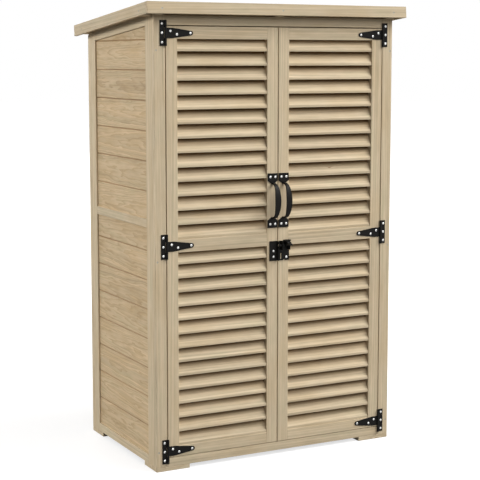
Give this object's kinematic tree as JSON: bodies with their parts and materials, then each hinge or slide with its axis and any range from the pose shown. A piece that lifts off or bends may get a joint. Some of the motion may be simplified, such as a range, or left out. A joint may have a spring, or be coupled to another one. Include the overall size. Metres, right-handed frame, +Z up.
{
  "type": "garden storage cabinet",
  "caption": "Free-standing garden tool cabinet with louvred double doors on T-hinges, boarded walls, slatted shelves and a felted roof that falls to the back.",
  "frame": {"origin": "on the ground, at the middle of the roof's outline in plan", "axes": "+X to the right along the front, +Y to the back wall, +Z up; the doors face -Y"},
  "size_m": [1.021, 0.69, 1.6],
  "materials": {
    "softwood": "planed, pressure-treated fir, dry and matt",
    "black_steel": "black powder coat, satin",
    "bright_steel": "bright zinc",
    "felt": "mineral-faced roofing felt, dark and gritty"
  },
  "bodies": {
    "root": {"back_boards": "softwood", "back_rails": "softwood", "back_stiles": "softwood", "door_stop": "softwood", "floor_boards": "softwood", "floor_rails": "softwood", "foot_blocks": "softwood", "frame_screws": "bright_steel", "front_fascia": "softwood", "front_sill": "softwood", "hinge_leaves": "black_steel", "hinge_pins": "black_steel", "leaf_screws": "bright_steel", "left_back_stile": "softwood", "left_fascia": "softwood", "left_front_stile": "softwood", "left_post": "softwood", "left_side_boards": "softwood", "left_side_rails": "softwood", "left_top_rail": "softwood", "lintel": "softwood", "lower_shelf": "softwood", "middle_shelf": "softwood", "purlins": "softwood", "rafters": "softwood", "rear_fascia": "softwood", "right_back_stile": "softwood", "right_fascia": "softwood", "right_front_stile": "softwood", "right_post": "softwood", "right_side_boards": "softwood", "right_side_rails": "softwood", "right_top_rail": "softwood", "roof_boards": "softwood", "roof_felt": "felt", "shelf_battens": "softwood", "upper_shelf": "softwood"},
    "left_door": {"left_hinge_stile": "softwood", "left_meeting_stile": "softwood", "left_door_bottom_rail": "softwood", "left_door_middle_rail": "softwood", "left_door_top_rail": "softwood", "left_lower_slats": "softwood", "left_upper_slats": "softwood", "left_hinge_straps": "black_steel", "left_handle": "black_steel", "left_door_screws": "bright_steel", "latch_keeper": "black_steel"},
    "right_door": {"right_hinge_stile": "softwood", "right_meeting_stile": "softwood", "right_door_bottom_rail": "softwood", "right_door_middle_rail": "softwood", "right_door_top_rail": "softwood", "right_lower_slats": "softwood", "right_upper_slats": "softwood", "right_hinge_straps": "black_steel", "right_handle": "black_steel", "right_door_screws": "bright_steel", "latch_case": "black_steel"},
    "bolt": {"latch_bolt": "black_steel"}
  },
  "joints": [
    {"name": "left_door_hinge", "type": "hinge", "parent": "root", "child": "left_door", "pos_m": [-0.4305, -0.308, 0.78], "axis": [0, 0, -1], "range_deg": [0, 170]},
    {"name": "right_door_hinge", "type": "hinge", "parent": "root", "child": "right_door", "pos_m": [0.4305, -0.308, 0.78], "axis": [0, 0, 1], "range_deg": [0, 170]},
    {"name": "latch_bolt_slide", "type": "slide", "parent": "right_door", "child": "bolt", "axis": [-1, 0, 0], "range_m": [0, 0.01]}
  ]
}
